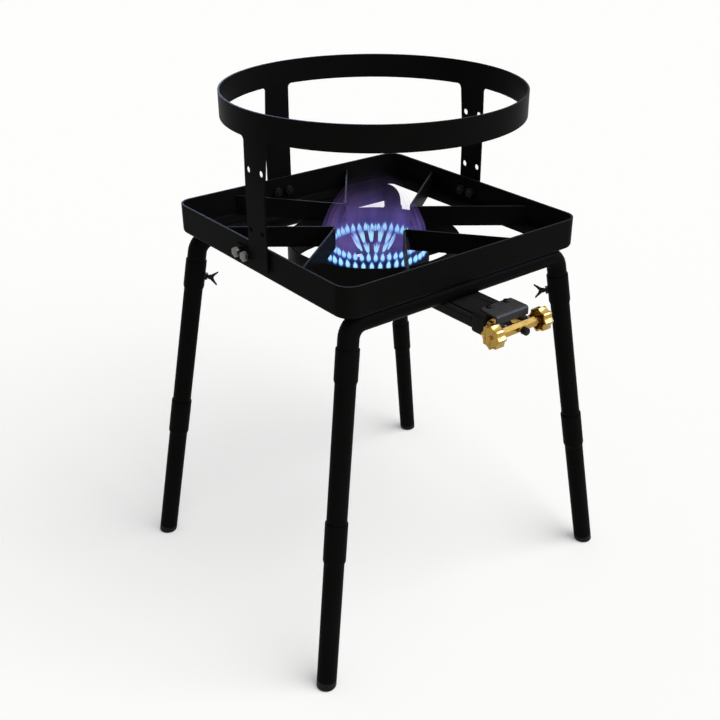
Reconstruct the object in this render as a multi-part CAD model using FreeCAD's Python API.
"""Stock pot range: an outdoor gas burner stand with a pot guard and removable legs.

Millimetres.  +Z is up.  The origin is on the floor, under the middle of the burner.
The valves are at the front, on the -Y side.
"""
import FreeCAD
import Part
import math
import os

from FreeCAD import Placement, Rotation, Vector

# ---------------------------------------------------------------- square frame
frame_side = 412.0          # outside, face to face
frame_top = 575.0           # top edge above the floor
frame_height = 43.75
frame_sheet = 3.0
frame_corner_r = 24.0       # outside
frame_bend_r = 6.0          # outside radius where the wall turns into the flange
flange_width = 25.0         # bottom flange, from the outside face
window_corner_r = 10.0      # corners of the opening inside the flange

# ---------------------------------------------------------------- grate bars
grate_bar_height = 30.0
grate_bar_thick = 3.0
grate_bend_r = 6.0          # to the middle of the bar
grate_tip_reach = 70.0      # from the burner axis to the outside of the bend
grate_end_offset = 107.0    # from the middle of the wall to each end of a bar

# ---------------------------------------------------------------- shield and its cross bar
shield_r = 125.0            # outside
shield_sheet = 2.0
shield_height = 50.0
shield_notch_gap = 2.5      # round the mixer
cross_bar_width = 30.0
cross_bar_thick = 4.0
burner_bolt_r = 4.0
burner_bolt_reach = 66.0    # from the burner axis
burner_bolt_depth = 7.0     # into the casting
bolt_clearance = 0.5

# ---------------------------------------------------------------- leg tubes and legs
tube_r = 14.0
tube_wall = 1.5
tube_bend_r = 22.0
tube_line_y = 184.5         # axis of the straight run, from the burner axis
tube_corner_x = 184.8       # where the straight run meets the line of the leg
weld_gap = 0.05             # between a tube and the flange above it
foot_x = 266.2              # leg axis on the floor
foot_y = 228.3
socket_play = 0.05          # radial, between a tube and the socket over it
socket_cone = 5.0           # length of the step from socket to tube
upper_mouth = 31.7          # along the leg, from the bent tube's corner
upper_socket = 46.7         # length with its cone
lower_mouth = 272.4
lower_socket = 60.0
seat_gap = 0.3              # end of a tube to the step it stands on
foot_plug_height = 11.0
foot_plug_insert = 14.0
foot_edge_r = 3.0

# ---------------------------------------------------------------- wing screws
wing_screw_at = 55.0        # along the leg, from the bent tube's corner
screw_r = 3.0
screw_play = 0.05
screw_tip_gap = 0.3         # tip to the tube inside the socket
socket_nut_flat = 10.0      # across flats
socket_nut_thick = 3.5
socket_nut_bed = 2.0        # how far its foot wraps down the round socket
wing_neck = 3.0             # bare shank between nut and wings
wing_hub_r = 3.8
wing_hub_length = 4.0
wing_web = 7.5              # from the hub's base to the notch between the wings
wing_reach = 13.0           # from the hub's base to the tips
wing_half_span = 11.0
wing_root = 1.9             # half width of the web at the hub's base
wing_tip = 1.4              # width of each tip
wing_tip_slant = 0.6
wing_thick = 2.4

# ---------------------------------------------------------------- pot guard
guard_r = 209.0             # outside
guard_sheet = 2.5
guard_height = 34.3
guard_rise = 175.7          # its top above the frame's top edge
post_width = 43.0
post_offset = 22.0          # middle of each post from the middle of its wall
post_gap = 2.0              # frame wall to post
post_drop = 31.5            # its lower end below the frame's top edge
post_flat_rise = 65.0       # up to here the post is flat and parallel to the wall
post_fillet_r = 6.0
post_hole_r = 4.5
post_hole_spacing = 27.0
post_hole_rises = (19.5, 100.0)     # above the frame's top edge
guard_bolt_drop = 20.5      # below the frame's top edge
guard_bolt_r = 4.0
guard_bolt_spacing = 20.5
guard_bolt_flat = 13.0
guard_bolt_head = 5.3
guard_nut_thick = 6.5
guard_thread_end = 1.5      # thread past the nut
guard_pad_height = 18.0
guard_pad_length = 36.0
lug_bolt_offset = 37.5      # left post only: bolts beside the post
lug_length = 58.0
spacer_r = 5.4
spacer_length = 5.2
drill_reach = 20.0          # how far a drill runs on each side of the wall's outside face

# ---------------------------------------------------------------- burner casting
ring_outer_r = 81.0
ring_inner_r = 49.0
ring_height = 32.2
ring_wall = 4.0
ring_edge = 3.0             # chamfers of the ring's inner and lower edges
ring_crown_r = 58.0         # inner edge of the sloping face
ring_shoulder_r = 79.5      # outer edge of the sloping face
ring_slope_drop = 12.6
port_count = 40
port_r = 1.6
port_rows = (61.0, 73.5)    # radii of the two rows on the sloping face
casting_edge_r = 3.0
mixer_width = 67.0
mixer_clear = 0.7           # below the front leg tube
mixer_end_y = -265.0
mixer_collar_width = 72.0
mixer_collar_length = 20.0
mixer_collar_rise = 12.0    # above the rest of the mixer
mixer_collar_drop = 4.0     # below the rest of the casting
mixer_collar_r = 6.0
mouth_spacing = 44.0
mouth_r = 7.5
mouth_depth = 20.0
mouth_rise = 9.5            # axis of the mouths above the casting's underside
venturi_r = 5.0
duct_half_width = 13.0
hub_r = 19.0
spoke_width = 9.0
spoke_height = 9.0

# ---------------------------------------------------------------- centre burner
inner_r = 25.0
inner_stem_r = 13.0
inner_spigot_r = 9.0
inner_spigot_length = 5.0
inner_height = 14.0
inner_rim = 5.0             # height of the drilled rim
inner_port_count = 12
inner_port_r = 1.6
inner_port_row_r = 22.0
inner_port_lean = 50.0      # degrees from upright

# ---------------------------------------------------------------- valves
bar_flat = 12.2             # hexagonal bar, across flats, a corner up
bar_half_length = 29.0
bar_step_rise = 4.25        # milled step for the cover's ears, above the bar's axis
bar_step_back = 0.3         # its front, behind the bar's top corner
bar_y = -293.0
nozzle_r = 4.0
nozzle_tip_r = 2.2
nozzle_tip_length = 6.0
nozzle_jet_r = 0.8
nozzle_inset = 2.0          # screwed into the bar
nozzle_tip_in = 3.0         # past the mouth of the mixer
thread_play = 0.03
shutter_r = 9.5
shutter_thick = 1.6
shutter_hub_r = 6.0
shutter_hub_length = 5.0
shutter_gap = 1.5           # to the mixer's mouth
gland_flat = 12.0
gland_length = 6.0
stem_r = 2.5
stem_play = 0.05
stem_depth = 7.0            # inside the bar
stem_end_gap = 0.5
gas_way_r = 1.5
knob_r = 16.0
knob_lobes = 8
knob_scallop_r = 9.0
knob_scallop_depth = 2.2
knob_thick = 14.0
knob_face = 2.6
knob_wall = 2.4
knob_hub_r = 5.0
knob_hub_gap = 0.8          # hub to gland nut
knob_inner_x = 35.0         # inner edge of the rim from the middle of the bar
stem_proud = 2.5            # beyond the knob's face
inlet_neck_r = 3.4
inlet_neck_length = 3.0
inlet_thread_r = 3.9
inlet_thread_length = 6.0
inlet_bore_r = 1.5
inlet_inset = 3.5
cap_r = 5.2
cap_end = 1.8
cap_play = 0.05
cap_edge_r = 1.2

# ---------------------------------------------------------------- cover plate
cover_width = 56.0
cover_front_y = -283.4
cover_back_y = -250.5
cover_sheet = 2.5
cover_bend_r = 4.0          # outside
cover_rear_corner_r = 7.0
cover_lip_gap = 0.5         # lip to the top of the bar
cover_ear_width = 7.0
cover_screw_spacing = 29.4
cover_screw_y = -256.0
cover_screw_r = 2.5
cover_screw_depth = 8.0
cover_screw_head_r = 4.5
cover_screw_head = 3.0
bar_screw_offset = 20.5     # from the middle of the bar
bar_screw_back = 2.6        # behind the bar's axis
bar_screw_r = 1.3
bar_screw_depth = 2.4
bar_screw_head_r = 2.2
bar_screw_head = 2.2

# ---------------------------------------------------------------- derived levels
half = frame_side / 2.0
inner_half = half - frame_sheet
frame_bottom = frame_top - frame_height
grate_base = frame_bottom + frame_sheet
shield_base = grate_base - shield_height
ring_base = shield_base + cross_bar_thick
ring_top = ring_base + ring_height
tube_z = frame_bottom - weld_gap - tube_r
mixer_top = tube_z - tube_r - mixer_clear
mouth_z = ring_base + mouth_rise
bar_z = mouth_z
bar_face = bar_flat / 2.0
bar_top = bar_z + bar_flat / math.sqrt(3.0)
bar_step = bar_z + bar_step_rise
mixer_collar_top = mixer_top + mixer_collar_rise
cover_top = mixer_collar_top + cover_sheet
post_in = half + post_gap
post_out = post_in + guard_sheet
guard_top = frame_top + guard_rise
guard_base = guard_top - guard_height
guard_bolt_z = frame_top - guard_bolt_drop
post_bottom = frame_top - post_drop
post_flat_top = frame_top + post_flat_rise
post_hole_levels = [frame_top + rise for rise in post_hole_rises]
socket_r = tube_r + socket_play + tube_wall

UP = Vector(0, 0, 1)
SIDES = {"front": 180.0, "rear": 0.0, "left": 90.0, "right": -90.0}
POST_TURNS = {"right": 0.0, "rear": 90.0, "left": 180.0}
CORNERS = {
    "front_left": (-1, -1),
    "front_right": (1, -1),
    "rear_left": (-1, 1),
    "rear_right": (1, 1),
}


# ================================================================ helpers
def box(x0, x1, y0, y1, z0, z1):
    return Part.makeBox(x1 - x0, y1 - y0, z1 - z0, Vector(x0, y0, z0))


def rod(radius, start, end):
    """A round bar between two points."""
    along = end - start
    return Part.makeCylinder(radius, along.Length, start, along)


def pipe(outer, inner, start, end):
    return rod(outer, start, end).cut(rod(inner, start, end))


def prism(points, push):
    """The closed outline through the points, pushed along a vector."""
    outline = Part.makePolygon(points + [points[0]])
    return Part.Face(outline).extrude(push)


def hexagon(across_flats, centre, axis, length, up):
    """A hexagonal bar along axis, with one flat facing up."""
    corner_r = across_flats / math.sqrt(3.0)
    axis = Vector(axis).normalize()
    up = Vector(up)
    up = (up - axis * up.dot(axis)).normalize()
    side = axis.cross(up)
    points = []
    for k in range(6):
        angle = math.radians(60.0 * k)
        points.append(centre + side * (corner_r * math.cos(angle)) + up * (corner_r * math.sin(angle)))
    return prism(points, axis * length)


def revolve(points):
    """The closed outline of (radius, height) pairs, turned about Z."""
    ring = [Vector(r, 0, z) for r, z in points]
    face = Part.Face(Part.makePolygon(ring + [ring[0]]))
    return face.revolve(Vector(0, 0, 0), UP, 360)


def edges_where(shape, test):
    """The straight or curved edges whose end points all pass the test."""
    return [e for e in shape.Edges if e.Vertexes and all(test(v.Point) for v in e.Vertexes)]


def edges_along_y(block):
    return [e for e in block.Edges if abs(e.Vertexes[0].Y - e.Vertexes[1].Y) > 1.0]


def rounded_square(side, radius, z, height):
    """A square block with round corners, centred on the burner axis."""
    reach = side / 2.0
    block = box(-reach, reach, -reach, reach, z, z + height)
    upright = [e for e in block.Edges if abs(e.Vertexes[0].Z - e.Vertexes[1].Z) > height / 2.0]
    return block.makeFillet(radius, upright)


def turned(shape, degrees):
    """A copy turned about the burner axis."""
    copy = shape.copy()
    copy.rotate(Vector(0, 0, 0), UP, degrees)
    return copy


def group(shapes):
    return Part.makeCompound(shapes)


# ================================================================ frame and grate
def pan_block(side, corner_r, bend_r, base, top):
    """A square block with round corners and a rounded foot."""
    block = rounded_square(side, corner_r, base, top - base)
    foot = edges_where(block, lambda p: p.z < base + 0.01)
    return block.makeFillet(bend_r, foot)


def pan_inside():
    return pan_block(2 * inner_half, frame_corner_r - frame_sheet, frame_bend_r - frame_sheet,
                     grate_base, frame_top + 1)


def make_frame_band():
    """The band, the bend at its foot and the flange under it are one pressed sheet."""
    outside = pan_block(frame_side, frame_corner_r, frame_bend_r, frame_bottom, frame_top)
    window = rounded_square(frame_side - 2 * flange_width, window_corner_r, frame_bottom - 1, frame_height)
    band = outside.cut(pan_inside()).cut(window)
    for name, degrees in POST_TURNS.items():
        band = band.cut(turned(bolt_holes(name), degrees))
    return band


def make_grate_bar():
    """The rear bar: both ends on the rear wall, the bend towards the burner."""
    outer_bend_r = grate_bend_r + grate_bar_thick / 2.0
    inner_bend_r = grate_bend_r - grate_bar_thick / 2.0
    tip = grate_tip_reach
    slope = math.atan2(grate_end_offset, inner_half - tip)
    for _ in range(4):
        tip = grate_tip_reach - outer_bend_r * (1.0 / math.sin(slope) - 1.0)
        slope = math.atan2(grate_end_offset, inner_half - tip)

    def wedge(offset, bend_r):
        """The V-shaped block behind a face that lies the offset behind the bar's front face."""
        apex = tip + offset / math.sin(slope)
        spread = (half - apex) * math.tan(slope)
        points = [Vector(0, apex, 0), Vector(spread, half, 0), Vector(-spread, half, 0)]
        block = prism(points, UP * grate_bar_height)
        nose = edges_where(block, lambda p: abs(p.x) < 0.01 and abs(p.y - apex) < 0.01)
        return block.makeFillet(bend_r, nose)

    bar = wedge(0.0, outer_bend_r).cut(wedge(grate_bar_thick, inner_bend_r))
    bar.translate(UP * grate_base)
    return bar.common(pan_inside())


# ================================================================ shield and cross bar
def make_wind_shield():
    shell = pipe(shield_r, shield_r - shield_sheet, UP * shield_base, UP * grate_base)
    notch_half = mixer_width / 2.0 + shield_notch_gap
    notch_top = mixer_top + shield_notch_gap
    notch = box(-notch_half, notch_half, -shield_r - 5, 0, shield_base - 1, notch_top)
    return shell.cut(notch)


def burner_bolt_points(z):
    return [Vector(side * burner_bolt_reach, 0, z) for side in (-1, 1)]


def make_cross_bar():
    """A flat bar from wall to wall of the shield, under the burner."""
    half_width = cross_bar_width / 2.0
    bar = box(-shield_r, shield_r, -half_width, half_width, shield_base, ring_base)
    bar = bar.common(Part.makeCylinder(shield_r - shield_sheet, cross_bar_thick, UP * shield_base))
    for point in burner_bolt_points(shield_base - 1):
        bar = bar.cut(Part.makeCylinder(burner_bolt_r + bolt_clearance, cross_bar_thick + 2, point))
    return bar


def make_burner_bolts():
    bolts = []
    for point in burner_bolt_points(shield_base):
        head = hexagon(guard_bolt_flat, point - UP * guard_bolt_head, UP, guard_bolt_head, Vector(1, 0, 0))
        shank = Part.makeCylinder(burner_bolt_r, cross_bar_thick + burner_bolt_depth, point)
        bolts.append(head.fuse(shank).removeSplitter())
    return group(bolts)


# ================================================================ bent tubes and legs
def leg_corner(sx, sy):
    return Vector(sx * tube_corner_x, sy * tube_line_y, tube_z)


def leg_axis(sx, sy):
    """Down along the leg."""
    foot = Vector(sx * foot_x, sy * foot_y, 0)
    return (foot - leg_corner(sx, sy)).normalize()


def leg_point(sx, sy, along):
    return leg_corner(sx, sy) + leg_axis(sx, sy) * along


def floor_along():
    """How far the floor lies along a leg."""
    return tube_z / -leg_axis(1, 1).z


def screw_direction(sx, sy):
    """Square to the leg, pointing in towards the burner axis."""
    axis = leg_axis(sx, sy)
    inward = Vector(-sx, -sy, 0).normalize()
    return (inward - axis * inward.dot(axis)).normalize()


def make_leg_tube(sy):
    """A straight run under the frame wall, bent down at both ends into two leg stubs."""
    stub_end = upper_mouth + upper_socket - socket_cone - seat_gap
    ends = {}
    for sx in (-1, 1):
        corner = leg_corner(sx, sy)
        axis = leg_axis(sx, sy)
        along_run = Vector(sx, 0, 0)
        turn = math.acos(along_run.dot(axis))
        tangent = tube_bend_r * math.tan(turn / 2.0)
        start = corner - along_run * tangent
        inward = (axis - along_run * along_run.dot(axis)).normalize()
        centre = start + inward * tube_bend_r
        middle = centre + (corner - centre).normalize() * tube_bend_r
        ends[sx] = (start, middle, corner + axis * tangent, corner + axis * stub_end)
    left = ends[-1]
    right = ends[1]
    path = Part.Wire([
        Part.makeLine(left[3], left[2]),
        Part.Arc(left[2], left[1], left[0]).toShape(),
        Part.makeLine(left[0], right[0]),
        Part.Arc(right[0], right[1], right[2]).toShape(),
        Part.makeLine(right[2], right[3]),
    ])
    direction = (left[2] - left[3]).normalize()
    solids = []
    for radius in (tube_r, tube_r - tube_wall):
        ring = Part.Wire([Part.makeCircle(radius, left[3], direction)])
        solids.append(path.makePipeShell([ring], True, False))
    return solids[0].cut(solids[1])


def socket_tube(sx, sy, mouth, socket, end):
    """A tube whose upper end is swaged out into a socket, with a cone between the two."""
    step = mouth + socket - socket_cone
    bore_r = tube_r - tube_wall
    profile = [
        (socket_r, mouth),
        (socket_r, step),
        (tube_r, mouth + socket),
        (tube_r, end),
        (bore_r, end),
        (bore_r, step),
        (tube_r + socket_play, step),
        (tube_r + socket_play, mouth),
    ]
    solid = revolve(profile)
    solid.Placement = Placement(leg_corner(sx, sy), Rotation(UP, leg_axis(sx, sy)))
    return solid


def make_upper_leg(sx, sy):
    end = lower_mouth + lower_socket - socket_cone - seat_gap
    leg = socket_tube(sx, sy, upper_mouth, upper_socket, end)
    start = leg_point(sx, sy, wing_screw_at)
    hole = rod(screw_r + screw_play, start, start + screw_direction(sx, sy) * (socket_r + 2))
    return leg.cut(hole)


def make_lower_leg(sx, sy):
    return socket_tube(sx, sy, lower_mouth, lower_socket, floor_along() - foot_plug_height)


def make_foot_plug(sx, sy):
    """A plastic plug in the end of the leg, cut level so that it stands flat on the floor."""
    shoulder = leg_point(sx, sy, floor_along() - foot_plug_height)
    foot = rod(tube_r, shoulder, leg_point(sx, sy, floor_along() + 2 * tube_r))
    room = foot_x + foot_y
    foot = foot.common(box(-room, room, -room, room, 0, tube_z))
    foot = foot.makeFillet(foot_edge_r, edges_where(foot, lambda p: p.z < 0.01))
    insert_r = tube_r - tube_wall - weld_gap
    insert = rod(insert_r, shoulder - leg_axis(sx, sy) * foot_plug_insert, shoulder)
    return foot.fuse(insert).removeSplitter()


def make_socket_nut(sx, sy):
    """A nut welded on the socket, bedded on its round side."""
    inward = screw_direction(sx, sy)
    axis = leg_axis(sx, sy)
    centre = leg_point(sx, sy, wing_screw_at)
    foot = centre + inward * (socket_r - socket_nut_bed)
    nut = hexagon(socket_nut_flat, foot, inward, socket_nut_thick + socket_nut_bed, axis)
    reach = axis * socket_nut_flat
    hole = rod(screw_r + screw_play, centre, foot + inward * (socket_nut_thick + 5))
    return nut.cut(rod(socket_r, centre - reach, centre + reach)).cut(hole)


def make_wing_screw(sx, sy):
    """Shank through nut and socket, a short neck, a hub and two wings with a web between."""
    inward = screw_direction(sx, sy)
    axis = leg_axis(sx, sy)
    centre = leg_point(sx, sy, wing_screw_at)
    tip = centre + inward * (tube_r + screw_tip_gap)
    hub_base = centre + inward * (socket_r + socket_nut_thick + wing_neck)
    hub_end = hub_base + inward * wing_hub_length
    screw = rod(screw_r, tip, hub_end).fuse(rod(wing_hub_r, hub_base, hub_end))
    side = inward.cross(axis).normalize()
    for sense in (-1, 1):
        out = axis * sense
        points = [
            hub_base,
            hub_base + out * wing_root,
            hub_base + inward * (wing_reach - wing_tip_slant) + out * wing_half_span,
            hub_base + inward * wing_reach + out * (wing_half_span - wing_tip),
            hub_base + inward * wing_web + out * wing_root,
            hub_base + inward * wing_web,
        ]
        points = [p - side * (wing_thick / 2.0) for p in points]
        screw = screw.fuse(prism(points, side * wing_thick))
    return screw.removeSplitter()


# ================================================================ pot guard
def post_sheet():
    """One post on the +X side, from the guard band down to the frame.

    It leaves the band on the band's curve and is flat, parallel to the wall, where it is fixed.
    """
    y0 = post_offset - post_width / 2.0
    y1 = post_offset + post_width / 2.0
    inner_r = guard_r - guard_sheet

    def on_curve(radius, y):
        return Vector(math.sqrt(radius * radius - y * y), y, guard_base)

    top = Part.Wire([
        Part.Arc(on_curve(guard_r, y0), on_curve(guard_r, post_offset), on_curve(guard_r, y1)).toShape(),
        Part.makeLine(on_curve(guard_r, y1), on_curve(inner_r, y1)),
        Part.Arc(on_curve(inner_r, y1), on_curve(inner_r, post_offset), on_curve(inner_r, y0)).toShape(),
        Part.makeLine(on_curve(inner_r, y0), on_curve(guard_r, y0)),
    ])
    corners = [
        Vector(post_out, y0, post_flat_top),
        Vector(post_out, y1, post_flat_top),
        Vector(post_in, y1, post_flat_top),
        Vector(post_in, y0, post_flat_top),
    ]
    bottom = Part.makePolygon(corners + [corners[0]])
    twist = Part.makeLoft([bottom, top], True, True)
    return twist.fuse(box(post_in, post_out, y0, y1, post_bottom, post_flat_top))


def wall_drill(radius, y, z):
    """A round tool across the right wall and its post."""
    return Part.makeCylinder(radius, 2 * drill_reach, Vector(half - drill_reach, y, z), Vector(1, 0, 0))


def post_gussets():
    """The two small curved gussets where a post runs into the band."""
    r = post_fillet_r
    skirt = pipe(guard_r, guard_r - guard_sheet, UP * (guard_base - r), UP * guard_base)
    pieces = []
    for sense in (-1, 1):
        edge_y = post_offset + sense * post_width / 2.0
        far_y = edge_y + sense * r
        corner = box(half - drill_reach, guard_r + 1, min(edge_y, far_y), max(edge_y, far_y),
                     guard_base - r, guard_base)
        scoop = wall_drill(r, far_y, guard_base - r)
        pieces.append(corner.cut(scoop).common(skirt))
    return pieces


def bolt_y_positions(name):
    """The bolts of a post, as if on the right wall.  The left post has them beside it on a lug."""
    middle = post_offset
    if name == "left":
        middle = post_offset - lug_bolt_offset
    return [middle - guard_bolt_spacing / 2.0, middle + guard_bolt_spacing / 2.0]


def bolt_holes(name):
    """Clearance holes for the bolts of one post, as if on the right wall."""
    radius = guard_bolt_r + bolt_clearance
    return group([wall_drill(radius, y, guard_bolt_z) for y in bolt_y_positions(name)])


def post_holes():
    """Two spare pairs of holes in a post."""
    ys = [post_offset + sense * post_hole_spacing / 2.0 for sense in (-1, 1)]
    return group([wall_drill(post_hole_r, y, level) for level in post_hole_levels for y in ys])


def make_pot_guard():
    """The band and its three posts, cut from one sheet."""
    post = post_sheet().fuse(post_gussets())
    guard = pipe(guard_r, guard_r - guard_sheet, UP * guard_base, UP * guard_top)
    for name, degrees in POST_TURNS.items():
        piece = post
        if name != "left":
            piece = piece.cut(bolt_holes(name))
        if name != "rear":
            piece = piece.cut(post_holes())
        guard = guard.fuse(turned(piece, degrees))
    return guard.removeSplitter()


def make_guard_pads():
    """Plates between the wall and the posts.  The left one runs on beside its post as a lug."""
    pads = []
    low = guard_bolt_z - guard_pad_height / 2.0
    for name, degrees in POST_TURNS.items():
        y0 = post_offset - guard_pad_length / 2.0
        length = guard_pad_length
        if name == "left":
            y0 = min(bolt_y_positions(name)) - guard_pad_height / 2.0
            length = lug_length
        pad = box(half, post_in, y0, y0 + length, low, low + guard_pad_height)
        pads.append(turned(pad.cut(bolt_holes(name)), degrees))
    return group(pads)


def bolt_seat(name):
    """Where the underside of a bolt's head lies, as if on the right wall."""
    if name == "left":
        return post_in + spacer_length
    return post_out


def make_guard_bolts():
    bolts = []
    inner_end = inner_half - guard_nut_thick - guard_thread_end
    for name, degrees in POST_TURNS.items():
        seat = bolt_seat(name)
        for y in bolt_y_positions(name):
            under = Vector(seat, y, guard_bolt_z)
            head = hexagon(guard_bolt_flat, under, Vector(1, 0, 0), guard_bolt_head, UP)
            dome = Part.makeCone(guard_bolt_flat * 0.72, guard_bolt_flat * 0.49, guard_bolt_head,
                                 under, Vector(1, 0, 0))
            shank = rod(guard_bolt_r, Vector(inner_end, y, guard_bolt_z), under)
            bolts.append(turned(head.common(dome).fuse(shank).removeSplitter(), degrees))
    return group(bolts)


def make_guard_nuts():
    nuts = []
    for name, degrees in POST_TURNS.items():
        for y in bolt_y_positions(name):
            start = Vector(inner_half - guard_nut_thick, y, guard_bolt_z)
            nut = hexagon(guard_bolt_flat, start, Vector(1, 0, 0), guard_nut_thick, UP)
            nut = nut.cut(rod(guard_bolt_r + thread_play, start, start + Vector(guard_nut_thick, 0, 0)))
            nuts.append(turned(nut, degrees))
    return group(nuts)


def make_guard_spacers():
    """Round spacers under the heads of the two bolts beside the left post."""
    spacers = []
    for y in bolt_y_positions("left"):
        start = Vector(post_in, y, guard_bolt_z)
        end = start + Vector(spacer_length, 0, 0)
        spacers.append(turned(pipe(spacer_r, guard_bolt_r + thread_play, start, end), POST_TURNS["left"]))
    return group(spacers)


# ================================================================ burner
def slope_height(radius):
    """Height of the ring's sloping face at a radius."""
    share = (radius - ring_crown_r) / (ring_shoulder_r - ring_crown_r)
    return ring_top - ring_slope_drop * share


def ring_outline():
    """Section of the ring: straight sides and a face that slopes out and down."""
    return [
        (ring_inner_r, ring_base),
        (ring_inner_r, ring_top - ring_edge),
        (ring_inner_r + ring_edge, ring_top),
        (ring_crown_r, ring_top),
        (ring_shoulder_r, slope_height(ring_shoulder_r)),
        (ring_outer_r, slope_height(ring_shoulder_r) - ring_edge / 2.0),
        (ring_outer_r, ring_base + ring_edge),
        (ring_outer_r - ring_edge, ring_base),
    ]


def chamber_outline():
    """The gas way inside the ring, one wall in from its outline."""
    wall = ring_wall
    outer = ring_outer_r - wall
    return [
        (ring_inner_r + wall, ring_base + wall),
        (ring_inner_r + wall, ring_top - wall),
        (ring_crown_r - wall / 4.0, ring_top - wall),
        (outer, slope_height(outer) - wall),
        (outer, ring_base + wall),
    ]


def make_ports():
    """Two staggered rows of gas ports, drilled square to the sloping face."""
    normal = Vector(ring_slope_drop, 0, ring_shoulder_r - ring_crown_r).normalize()
    step = 360.0 / port_count
    ports = []
    for row, radius in enumerate(port_rows):
        start = Vector(radius, 0, slope_height(radius)) - normal * (ring_wall + 3.0)
        drill = Part.makeCylinder(port_r, ring_wall + 5.0, start, normal)
        for k in range(port_count):
            ports.append(turned(drill, step * (k + 0.5 * row)))
    return ports


def mouth_point(sx, y=mixer_end_y):
    return Vector(sx * mouth_spacing / 2.0, y, mouth_z)


def hub_gas_way():
    """The right mouth's gas way: under the ring, then up through the hub."""
    across = Vector(0, 0, mouth_z - 1.0)
    way = rod(venturi_r, mouth_point(1), across)
    return way.fuse(rod(venturi_r, across, Vector(0, 0, mixer_top + 1)))


def casting_blank():
    """Ring, spokes, hub, duct, flat mixer and its end collar, before any hole."""
    mixer_half = mixer_width / 2.0
    mixer_start_y = -ring_inner_r - ring_wall
    mixer = box(-mixer_half, mixer_half, mixer_end_y, mixer_start_y, ring_base, mixer_top)
    mixer = mixer.makeFillet(casting_edge_r, edges_along_y(mixer))
    collar_half = mixer_collar_width / 2.0
    collar_back = mixer_end_y + mixer_collar_length
    collar = box(-collar_half, collar_half, mixer_end_y, collar_back,
                 ring_base - mixer_collar_drop, mixer_collar_top)
    collar = collar.makeFillet(mixer_collar_r, edges_along_y(collar))
    back_rim = edges_where(collar, lambda p: abs(p.y - collar_back) < 0.01)
    collar = collar.makeFillet(casting_edge_r, back_rim)
    duct = box(-duct_half_width, duct_half_width, mixer_start_y, 0, ring_base, mixer_top)
    hub = Part.makeCylinder(hub_r, mixer_top - ring_base, UP * ring_base)
    pieces = [mixer, collar, duct, hub]
    for angle in (-60, 60):
        spoke = box(-spoke_width / 2.0, spoke_width / 2.0, 0, ring_inner_r + ring_wall,
                    ring_base, ring_base + spoke_height)
        pieces.append(turned(spoke, angle))
    return revolve(ring_outline()).fuse(pieces)


def make_burner_casting():
    """Two gas ways in one casting: the left mouth feeds the ring, the right one the hub."""
    bridge = box(-duct_half_width, duct_half_width, -ring_outer_r, 0, ring_base, mouth_z + venturi_r + 2.0)
    chamber = revolve(chamber_outline()).cut(bridge)
    casting = casting_blank().cut(chamber)
    for point in burner_bolt_points(ring_base):
        boss = Part.makeCylinder(burner_bolt_r + ring_wall, burner_bolt_depth + ring_wall, point)
        casting = casting.fuse(boss)
        casting = casting.cut(Part.makeCylinder(burner_bolt_r + thread_play, burner_bolt_depth + 1.0, point))
    for sx in (-1, 1):
        casting = casting.cut(rod(mouth_r, mouth_point(sx), mouth_point(sx, mixer_end_y + mouth_depth)))
        hole = Vector(sx * cover_screw_spacing / 2.0, cover_screw_y, mixer_collar_top - cover_screw_depth - 1)
        casting = casting.cut(Part.makeCylinder(cover_screw_r + thread_play, cover_screw_depth + 2, hole))
    ring_middle_y = -(ring_inner_r + ring_outer_r) / 2.0
    casting = casting.cut(rod(venturi_r, mouth_point(-1), mouth_point(-1, ring_middle_y)))
    casting = casting.cut(hub_gas_way())
    spigot_hole = Part.makeCylinder(inner_spigot_r + thread_play, inner_spigot_length + 1,
                                    UP * (mixer_top - inner_spigot_length - 0.5))
    casting = casting.cut(spigot_hole)
    return casting.cut(group(make_ports()))


def make_inner_burner():
    """A mushroom-shaped head on a spigot, hollow, with a ring of leaning ports."""
    base = mixer_top
    top = base + inner_height
    rim_base = top - inner_rim
    outline = [
        (gas_way_r * 2.0, base - inner_spigot_length),
        (inner_spigot_r, base - inner_spigot_length),
        (inner_spigot_r, base),
        (inner_stem_r, base),
        (inner_stem_r, base + 1.5),
        (inner_r - 1.5, rim_base),
        (inner_r, rim_base + 1.0),
        (inner_r - 0.8, top - 2.5),
        (inner_r * 0.62, top),
        (0, top),
        (0, top - 3.0),
        (inner_r * 0.6, top - 3.0),
        (inner_r * 0.72, top - 5.0),
        (inner_stem_r * 0.6, base + 2.0),
        (gas_way_r * 2.0, base),
    ]
    head = revolve(outline)
    lean = math.radians(inner_port_lean)
    along = Vector(math.sin(lean), 0, math.cos(lean))
    start = Vector(inner_port_row_r, 0, top - 1.5) - along * 6.0
    drill = Part.makeCylinder(inner_port_r, 12.0, start, along)
    for k in range(inner_port_count):
        head = head.cut(turned(drill, 360.0 * k / inner_port_count))
    return head


# ================================================================ valves
def bar_screw_point(sx, z):
    return Vector(sx * bar_screw_offset, bar_y + bar_screw_back, z)


def ear_span(sx):
    """The two x limits of one ear of the cover."""
    x = sx * bar_screw_offset
    return x - cover_ear_width / 2.0, x + cover_ear_width / 2.0


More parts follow.
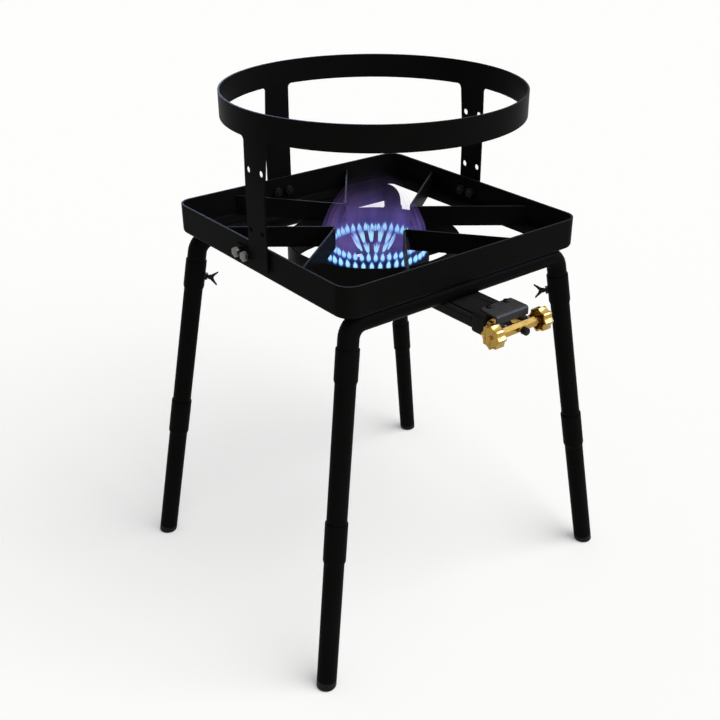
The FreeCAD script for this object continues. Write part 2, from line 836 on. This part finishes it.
def make_manifold_bar():
    """A hexagonal bar, bored from both ends for the stems and from the front for the inlet."""
    start = Vector(-bar_half_length, bar_y, bar_z)
    bar = hexagon(bar_flat, start, Vector(1, 0, 0), 2 * bar_half_length, Vector(0, 1, 0))
    root_y = bar_y + bar_face - nozzle_inset
    for sx in (-1, 1):
        bar = bar.cut(rod(nozzle_r + thread_play, mouth_point(sx, root_y), mouth_point(sx, root_y + bar_flat)))
        bar = bar.cut(rod(gas_way_r, mouth_point(sx, bar_y), mouth_point(sx, root_y)))
        stem = Vector(sx * (bar_half_length - stem_depth), bar_y, bar_z)
        bar = bar.cut(rod(stem_r + stem_play, stem, stem + Vector(sx * 2 * stem_depth, 0, 0)))
        x0, x1 = ear_span(sx)
        bar = bar.cut(box(x0 - bolt_clearance, x1 + bolt_clearance, bar_y + bar_step_back, bar_y + bar_flat,
                          bar_step, bar_top + 1))
        screw = bar_screw_point(sx, bar_step - bar_screw_depth)
        bar = bar.cut(Part.makeCylinder(bar_screw_r + thread_play, bar_screw_depth + 1, screw))
    middle = Vector(0, bar_y, bar_z)
    reach = Vector(bar_half_length - stem_depth / 2.0, 0, 0)
    bar = bar.cut(rod(gas_way_r, middle - reach, middle + reach))
    bar = bar.cut(rod(inlet_bore_r, middle, middle - Vector(0, bar_flat, 0)))
    inlet = Vector(0, bar_y - bar_face + inlet_inset, bar_z)
    return bar.cut(rod(inlet_neck_r + thread_play, inlet, inlet - Vector(0, bar_flat, 0)))


def make_nozzle(sx):
    root_y = bar_y + bar_face - nozzle_inset
    tip_y = mixer_end_y + nozzle_tip_in
    shoulder = mouth_point(sx, tip_y - nozzle_tip_length)
    body = rod(nozzle_r, mouth_point(sx, root_y), shoulder)
    tip = Part.makeCone(nozzle_r, nozzle_tip_r, nozzle_tip_length, shoulder, Vector(0, 1, 0))
    jet = rod(nozzle_jet_r, mouth_point(sx, root_y + 1.5), mouth_point(sx, tip_y + 1))
    return body.fuse(tip).cut(jet).removeSplitter()


def make_air_shutter(sx):
    """A thin disc with a hub, threaded on the nozzle in front of the mixer's mouth."""
    face_y = mixer_end_y - shutter_gap
    disc = rod(shutter_r, mouth_point(sx, face_y - shutter_thick), mouth_point(sx, face_y))
    hub = rod(shutter_hub_r, mouth_point(sx, face_y - shutter_hub_length), mouth_point(sx, face_y))
    bore = rod(nozzle_r + stem_play, mouth_point(sx, face_y - 10), mouth_point(sx, face_y + 5))
    return disc.fuse(hub).cut(bore).removeSplitter()


def make_gland_nuts():
    nuts = []
    for sx in (-1, 1):
        start = Vector(sx * bar_half_length, bar_y, bar_z)
        nut = hexagon(gland_flat, start, Vector(sx, 0, 0), gland_length, UP)
        nuts.append(nut.cut(rod(stem_r + stem_play, start, start + Vector(sx * gland_length, 0, 0))))
    return group(nuts)


def make_valve_stem(sx):
    inner = Vector(sx * (bar_half_length - stem_depth + stem_end_gap), bar_y, bar_z)
    outer = Vector(sx * (knob_inner_x + knob_thick + stem_proud), bar_y, bar_z)
    return rod(stem_r, inner, outer)


def knob_blank(x0, x1):
    """A round blank about X with scallops between its lobes."""
    blank = rod(knob_r, Vector(x0, 0, 0), Vector(x1, 0, 0))
    reach = knob_r + knob_scallop_r - knob_scallop_depth
    for k in range(knob_lobes):
        angle = 2 * math.pi * (k + 0.5) / knob_lobes
        at = Vector(0, reach * math.cos(angle), reach * math.sin(angle))
        blank = blank.cut(rod(knob_scallop_r, at + Vector(x0 - 1, 0, 0), at + Vector(x1 + 1, 0, 0)))
    return blank


def make_knob(sx):
    """A cup with a lobed rim, open towards the bar, and a hub on the valve stem."""
    inner_x = knob_inner_x
    outer_x = knob_inner_x + knob_thick
    hollow_r = knob_r - knob_scallop_depth - knob_wall
    hub_x = bar_half_length + gland_length + knob_hub_gap
    knob = knob_blank(inner_x, outer_x)
    knob = knob.cut(rod(hollow_r, Vector(inner_x - 1, 0, 0), Vector(outer_x - knob_face, 0, 0)))
    knob = knob.fuse(rod(knob_hub_r, Vector(hub_x, 0, 0), Vector(outer_x - knob_face / 2.0, 0, 0)))
    bore = rod(stem_r + thread_play, Vector(hub_x - 1, 0, 0), Vector(outer_x + 1, 0, 0))
    knob = knob.cut(bore).removeSplitter()
    if sx < 0:
        knob = knob.mirror(Vector(0, 0, 0), Vector(1, 0, 0))
    knob.translate(Vector(0, bar_y, bar_z))
    return knob


def make_inlet_fitting():
    front = bar_y - bar_face
    root = Vector(0, front + inlet_inset, bar_z)
    neck_end = Vector(0, front - inlet_neck_length, bar_z)
    tip = neck_end - Vector(0, inlet_thread_length, 0)
    fitting = rod(inlet_neck_r, root, neck_end).fuse(rod(inlet_thread_r, neck_end, tip))
    return fitting.cut(rod(inlet_bore_r, root, tip)).removeSplitter()


def make_inlet_cap():
    neck_end_y = bar_y - bar_face - inlet_neck_length
    mouth = Vector(0, neck_end_y - seat_gap, bar_z)
    hollow_end = Vector(0, neck_end_y - inlet_thread_length - seat_gap, bar_z)
    end = hollow_end - Vector(0, cap_end, 0)
    cap = rod(cap_r, mouth, end)
    cap = cap.makeFillet(cap_edge_r, edges_where(cap, lambda p: p.y < end.y + 0.01))
    return cap.cut(rod(inlet_thread_r + cap_play, mouth, hollow_end))


# ================================================================ cover over the valves
def make_cover_plate():
    """A flat top, a front lip bent down, and two ears bent forward on to the bar's steps."""
    reach = cover_width / 2.0
    lip_bottom = bar_top + cover_lip_gap
    inner_y = cover_front_y + cover_sheet
    block = box(-reach, reach, cover_front_y, cover_back_y, lip_bottom, cover_top)
    bend = edges_where(block, lambda p: abs(p.y - cover_front_y) < 0.01 and abs(p.z - cover_top) < 0.01)
    block = block.makeFillet(cover_bend_r, bend)
    rear = [e for e in edges_where(block, lambda p: abs(p.y - cover_back_y) < 0.01)
            if abs(e.Vertexes[0].Z - e.Vertexes[-1].Z) > 1]
    block = block.makeFillet(cover_rear_corner_r, rear)
    core = box(-reach - 1, reach + 1, inner_y, cover_back_y + 1, lip_bottom - 1, mixer_collar_top)
    inside = edges_where(core, lambda p: abs(p.y - inner_y) < 0.01 and abs(p.z - mixer_collar_top) < 0.01)
    plate = block.cut(core.makeFillet(cover_bend_r - cover_sheet, inside))
    for sx in (-1, 1):
        x0, x1 = ear_span(sx)
        foot = box(x0, x1, bar_y + bar_step_back + weld_gap, inner_y, bar_step, bar_step + cover_sheet)
        plate = plate.fuse([foot, box(x0, x1, cover_front_y, inner_y, bar_step, lip_bottom + 1)])
        screw = bar_screw_point(sx, bar_step - 1)
        plate = plate.cut(Part.makeCylinder(bar_screw_r + thread_play, cover_sheet + 2, screw))
        hole = Vector(sx * cover_screw_spacing / 2.0, cover_screw_y, mixer_collar_top - 1)
        plate = plate.cut(Part.makeCylinder(cover_screw_r + thread_play, cover_sheet + 2, hole))
    return plate.removeSplitter()


def pan_head_screw(seat, head_r, head_height, shank_r, depth):
    """A screw with a rounded head, its head standing on the seat."""
    head = Part.makeCylinder(head_r, head_height, seat)
    head = head.makeFillet(0.45 * head_height, edges_where(head, lambda p: p.z > seat.z + head_height / 2.0))
    return head.fuse(rod(shank_r, seat, seat - UP * depth)).removeSplitter()


def make_cover_screws():
    screws = []
    for sx in (-1, 1):
        seat = Vector(sx * cover_screw_spacing / 2.0, cover_screw_y, cover_top)
        screws.append(pan_head_screw(seat, cover_screw_head_r, cover_screw_head, cover_screw_r,
                                     cover_sheet + cover_screw_depth))
    return group(screws)


def make_bar_screws():
    screws = []
    for sx in (-1, 1):
        seat = bar_screw_point(sx, bar_step + cover_sheet)
        screws.append(pan_head_screw(seat, bar_screw_head_r, bar_screw_head, bar_screw_r,
                                     cover_sheet + bar_screw_depth - 0.5))
    return group(screws)


# ================================================================ the whole stand
def build():
    nodes = {"frame_band": make_frame_band()}
    bar = make_grate_bar()
    for side, degrees in SIDES.items():
        nodes["grate_bar_" + side] = turned(bar, degrees)
    nodes["wind_shield"] = make_wind_shield()
    nodes["front_leg_tube"] = make_leg_tube(-1)
    nodes["rear_leg_tube"] = make_leg_tube(1)
    nodes["burner_cross_bar"] = make_cross_bar()
    nodes["burner_bolts"] = make_burner_bolts()
    nodes["burner_casting"] = make_burner_casting()
    nodes["inner_burner"] = make_inner_burner()
    nodes["pot_guard"] = make_pot_guard()
    nodes["guard_pads"] = make_guard_pads()
    nodes["guard_spacers"] = make_guard_spacers()
    nodes["guard_bolts"] = make_guard_bolts()
    nodes["guard_nuts"] = make_guard_nuts()
    nodes["manifold_bar"] = make_manifold_bar()
    nodes["valve_cover_plate"] = make_cover_plate()
    nodes["cover_screws"] = make_cover_screws()
    nodes["bar_screws"] = make_bar_screws()
    nodes["gland_nuts"] = make_gland_nuts()
    nodes["inlet_fitting"] = make_inlet_fitting()
    nodes["inlet_cap"] = make_inlet_cap()
    for side, sx in (("left", -1), ("right", 1)):
        nodes[side + "_nozzle"] = make_nozzle(sx)
        nodes[side + "_air_shutter"] = make_air_shutter(sx)
        nodes[side + "_valve_stem"] = make_valve_stem(sx)
        nodes[side + "_knob"] = make_knob(sx)
    for corner, (sx, sy) in CORNERS.items():
        nodes[corner + "_upper_leg"] = make_upper_leg(sx, sy)
        nodes[corner + "_lower_leg"] = make_lower_leg(sx, sy)
        nodes[corner + "_foot_plug"] = make_foot_plug(sx, sy)
        nodes[corner + "_socket_nut"] = make_socket_nut(sx, sy)
        nodes[corner + "_wing_screw"] = make_wing_screw(sx, sy)
    return nodes


os.makedirs("parts", exist_ok=True)
for name, shape in build().items():
    solids = shape.Solids
    if not shape.isValid() or not solids:
        raise RuntimeError("bad solid in " + name)
    whole = solids[0] if len(solids) == 1 else Part.makeCompound(solids)
    whole.exportStep("parts/" + name + ".step")
    print(name, len(solids), "solid(s)", round(sum(s.Volume for s in solids) / 1000.0, 2), "cm3")
